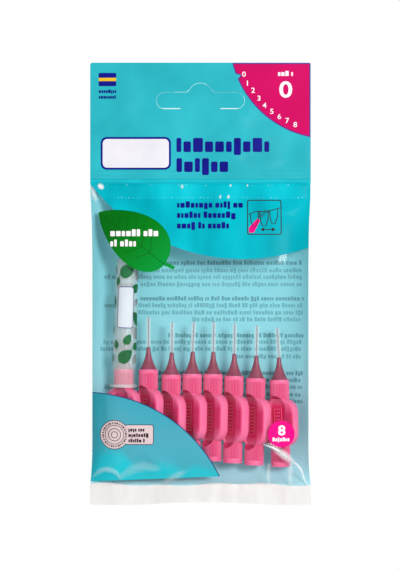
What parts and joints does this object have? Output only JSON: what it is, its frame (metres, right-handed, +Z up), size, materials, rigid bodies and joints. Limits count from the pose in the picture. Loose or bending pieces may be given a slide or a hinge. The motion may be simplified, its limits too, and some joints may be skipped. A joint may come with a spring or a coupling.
{
  "type": "interdental brush pack",
  "caption": "Hanging press-to-close film pouch of pink wire interdental brushes with ribbed paddle handles, the first one in a long clear cap, under a film header with a peg hole.",
  "frame": {"origin": "centre of the round arch of the hang hole, on the header's middle plane", "axes": "+Z up along the hanging pack, +X to the right as seen from the front, +Y from the front to the back"},
  "size_m": [0.08, 0.0148, 0.1605],
  "materials": {
    "header_film": "printed turquoise film, glossy",
    "front_film": "clear film with printed areas, glossy",
    "back_film": "pale turquoise film, glossy",
    "zip_plastic": "clear extruded polyethylene",
    "handle_plastic": "moulded pink polypropylene, satin",
    "neck_plastic": "translucent dusty pink elastomer",
    "core_wire": "twisted coated steel wire",
    "bristle_nylon": "white nylon filaments",
    "cap_plastic": "milky translucent polypropylene"
  },
  "bodies": {
    "header": {"header_film": "header_film"},
    "hang_tab": {"hang_tab": "header_film"},
    "pouch": {"front_film": "front_film", "back_film": "back_film", "zip_profile_front": "zip_plastic", "zip_profile_back": "zip_plastic"},
    "brush_1": {"handle_1": "handle_plastic", "neck_1": "neck_plastic", "wire_1": "core_wire", "bristles_1": "bristle_nylon"},
    "brush_2": {"handle_2": "handle_plastic", "neck_2": "neck_plastic", "wire_2": "core_wire", "bristles_2": "bristle_nylon"},
    "brush_3": {"handle_3": "handle_plastic", "neck_3": "neck_plastic", "wire_3": "core_wire", "bristles_3": "bristle_nylon"},
    "brush_4": {"handle_4": "handle_plastic", "neck_4": "neck_plastic", "wire_4": "core_wire", "bristles_4": "bristle_nylon"},
    "brush_5": {"handle_5": "handle_plastic", "neck_5": "neck_plastic", "wire_5": "core_wire", "bristles_5": "bristle_nylon"},
    "brush_6": {"handle_6": "handle_plastic", "neck_6": "neck_plastic", "wire_6": "core_wire", "bristles_6": "bristle_nylon"},
    "brush_7": {"handle_7": "handle_plastic", "neck_7": "neck_plastic", "wire_7": "core_wire", "bristles_7": "bristle_nylon"},
    "brush_8": {"handle_8": "handle_plastic", "neck_8": "neck_plastic", "wire_8": "core_wire", "bristles_8": "bristle_nylon"},
    "cap": {"cap": "cap_plastic"}
  },
  "joints": [
    {"name": "hang_tab_fold", "type": "hinge", "parent": "header", "child": "hang_tab", "pos_m": [0, 0, -0.005], "axis": [-1, 0, 0], "range_deg": [0, 120], "stiffness_Nm_per_rad": 0.00001},
    {"name": "header_fold", "type": "hinge", "parent": "header", "child": "pouch", "pos_m": [0, 0, -0.0312], "axis": [1, 0, 0], "range_deg": [-120, 120]},
    {"name": "brush_1_slide", "type": "slide", "parent": "pouch", "child": "brush_1", "axis": [0.0314, 0, 0.9995], "range_m": [0, 0.002]},
    {"name": "brush_2_slide", "type": "slide", "parent": "pouch", "child": "brush_2", "axis": [0.0035, 0, 1], "range_m": [0, 0.025]},
    {"name": "brush_3_slide", "type": "slide", "parent": "pouch", "child": "brush_3", "axis": [0.0175, 0, 0.9998], "range_m": [0, 0.025]},
    {"name": "brush_4_slide", "type": "slide", "parent": "pouch", "child": "brush_4", "axis": [0.0175, 0, 0.9998], "range_m": [0, 0.025]},
    {"name": "brush_5_slide", "type": "slide", "parent": "pouch", "child": "brush_5", "axis": [0.0157, 0, 0.9999], "range_m": [0, 0.025]},
    {"name": "brush_6_slide", "type": "slide", "parent": "pouch", "child": "brush_6", "axis": [0.0175, 0, 0.9998], "range_m": [0, 0.025]},
    {"name": "brush_7_slide", "type": "slide", "parent": "pouch", "child": "brush_7", "axis": [0.0227, 0, 0.9997], "range_m": [0, 0.025]},
    {"name": "brush_8_slide", "type": "slide", "parent": "pouch", "child": "brush_8", "axis": [-0.0175, 0, 0.9998], "range_m": [0, 0.025]},
    {"name": "cap_pull", "type": "slide", "parent": "brush_1", "child": "cap", "axis": [0.0314, 0, 0.9995], "range_m": [0, 0.009]}
  ]
}
